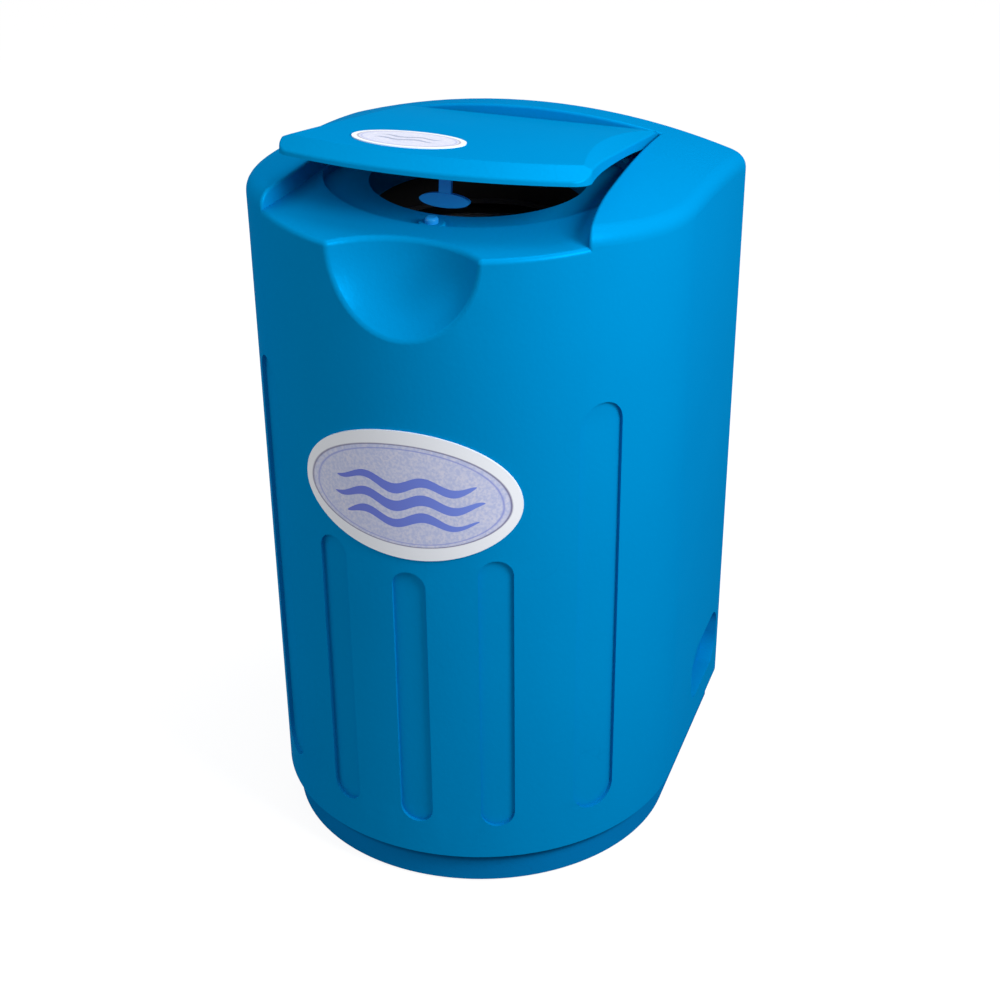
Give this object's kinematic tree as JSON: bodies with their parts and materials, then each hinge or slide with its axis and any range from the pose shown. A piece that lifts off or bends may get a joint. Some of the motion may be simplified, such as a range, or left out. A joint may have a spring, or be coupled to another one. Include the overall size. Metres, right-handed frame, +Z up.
{
  "type": "spin dryer",
  "caption": "Floor-standing top-loading spin dryer in a moulded casing on a plinth, hinged lid ajar over a belt-driven perforated basket, with a finger scoop and a fluted front.",
  "frame": {"origin": "on the floor at the middle of the bounding box, under the appliance", "axes": "+Z up, -Y is the front with the finger scoop, +X is the appliance's side on the right of a viewer who faces the front"},
  "size_m": [0.4494, 0.4632, 0.7829],
  "materials": {
    "blue_moulding": "satin moulded plastic, coloured through",
    "black_rubber": "moulded rubber",
    "zinc_steel": "zinc plated steel",
    "grey_painted_steel": "grey paint",
    "cast_aluminium": "as cast and turned",
    "cast_iron": "machined",
    "stainless_steel": "brushed stainless steel",
    "white_plastic": "moulded plastic",
    "black_plastic": "moulded plastic",
    "label_plastic": "printed pale lavender film with a white edge",
    "plate_aluminium": "plain foil",
    "hinge_steel": "pressed steel"
  },
  "bodies": {
    "cabinet": {"casing_shell": "blue_moulding", "base_plinth": "blue_moulding", "rubber_feet": "black_rubber", "base_screws": "zinc_steel", "suspension_plate": "grey_painted_steel", "rubber_mounts": "black_rubber", "mount_bolts": "zinc_steel", "bearing_housing": "cast_aluminium", "lower_bearing": "zinc_steel", "upper_bearing": "zinc_steel", "outer_tub": "white_plastic", "tub_cover": "white_plastic", "shaft_seal": "black_rubber", "tub_gasket": "black_rubber", "tub_screws": "zinc_steel", "drive_belt": "black_rubber", "motor_stator": "grey_painted_steel", "motor_end_caps": "cast_aluminium", "run_capacitor": "white_plastic", "drain_hose": "black_rubber", "drain_spout": "black_plastic", "service_cover": "black_plastic", "cover_screws": "zinc_steel", "power_inlet": "black_plastic", "terminal_box": "black_plastic", "rating_plate": "plate_aluminium", "brake_pivot": "zinc_steel", "brake_spring": "zinc_steel", "brake_magnet": "grey_painted_steel", "plunger_guide": "blue_moulding", "interlock_switch": "black_plastic", "hinge_brackets": "hinge_steel", "hinge_screws": "zinc_steel", "front_badge": "label_plastic"},
    "lid": {"lid_shell": "blue_moulding", "lid_liner": "blue_moulding", "liner_screws": "zinc_steel", "latch_tongue": "blue_moulding", "lid_buffers": "black_rubber", "hinge_pins": "zinc_steel", "lid_badge": "label_plastic"},
    "drum": {"spin_basket": "stainless_steel", "basket_hub": "cast_aluminium", "balance_ring": "white_plastic", "drive_shaft": "zinc_steel", "basket_nut": "zinc_steel", "drum_pulley": "cast_aluminium", "brake_drum": "cast_iron"},
    "motor_rotor": {"motor_rotor": "zinc_steel", "motor_pulley": "cast_aluminium"},
    "interlock_plunger": {"interlock_plunger": "blue_moulding"},
    "brake_lever": {"brake_lever": "zinc_steel", "brake_pad": "black_rubber"}
  },
  "joints": [
    {"name": "lid_hinge", "type": "hinge", "parent": "cabinet", "child": "lid", "pos_m": [0, 0.16059, 0.70038], "axis": [-1, 0, 0], "range_deg": [-9, 75]},
    {"name": "drum_spin", "type": "hinge", "parent": "cabinet", "child": "drum", "pos_m": [0, 0.00059, 0.3], "axis": [0, 0, 1], "continuous": true},
    {"name": "motor_spin", "type": "hinge", "parent": "cabinet", "child": "motor_rotor", "pos_m": [0, 0.13559, 0.1], "axis": [0, 0, 1], "continuous": true},
    {"name": "plunger_slide", "type": "slide", "parent": "cabinet", "child": "interlock_plunger", "axis": [0, 0, -1], "range_m": [0, 0.004], "stiffness_N_per_m": 300, "springref_m": -0.003},
    {"name": "brake_swing", "type": "hinge", "parent": "cabinet", "child": "brake_lever", "pos_m": [-0.08, -0.08371, 0.043], "axis": [0, 0, -1], "range_deg": [0, 3], "stiffness_Nm_per_rad": 3, "springref_deg": -5.73}
  ],
  "couplings": [
    {"joint": "motor_spin", "follows": "drum_spin", "ratio": 2.3077}
  ]
}
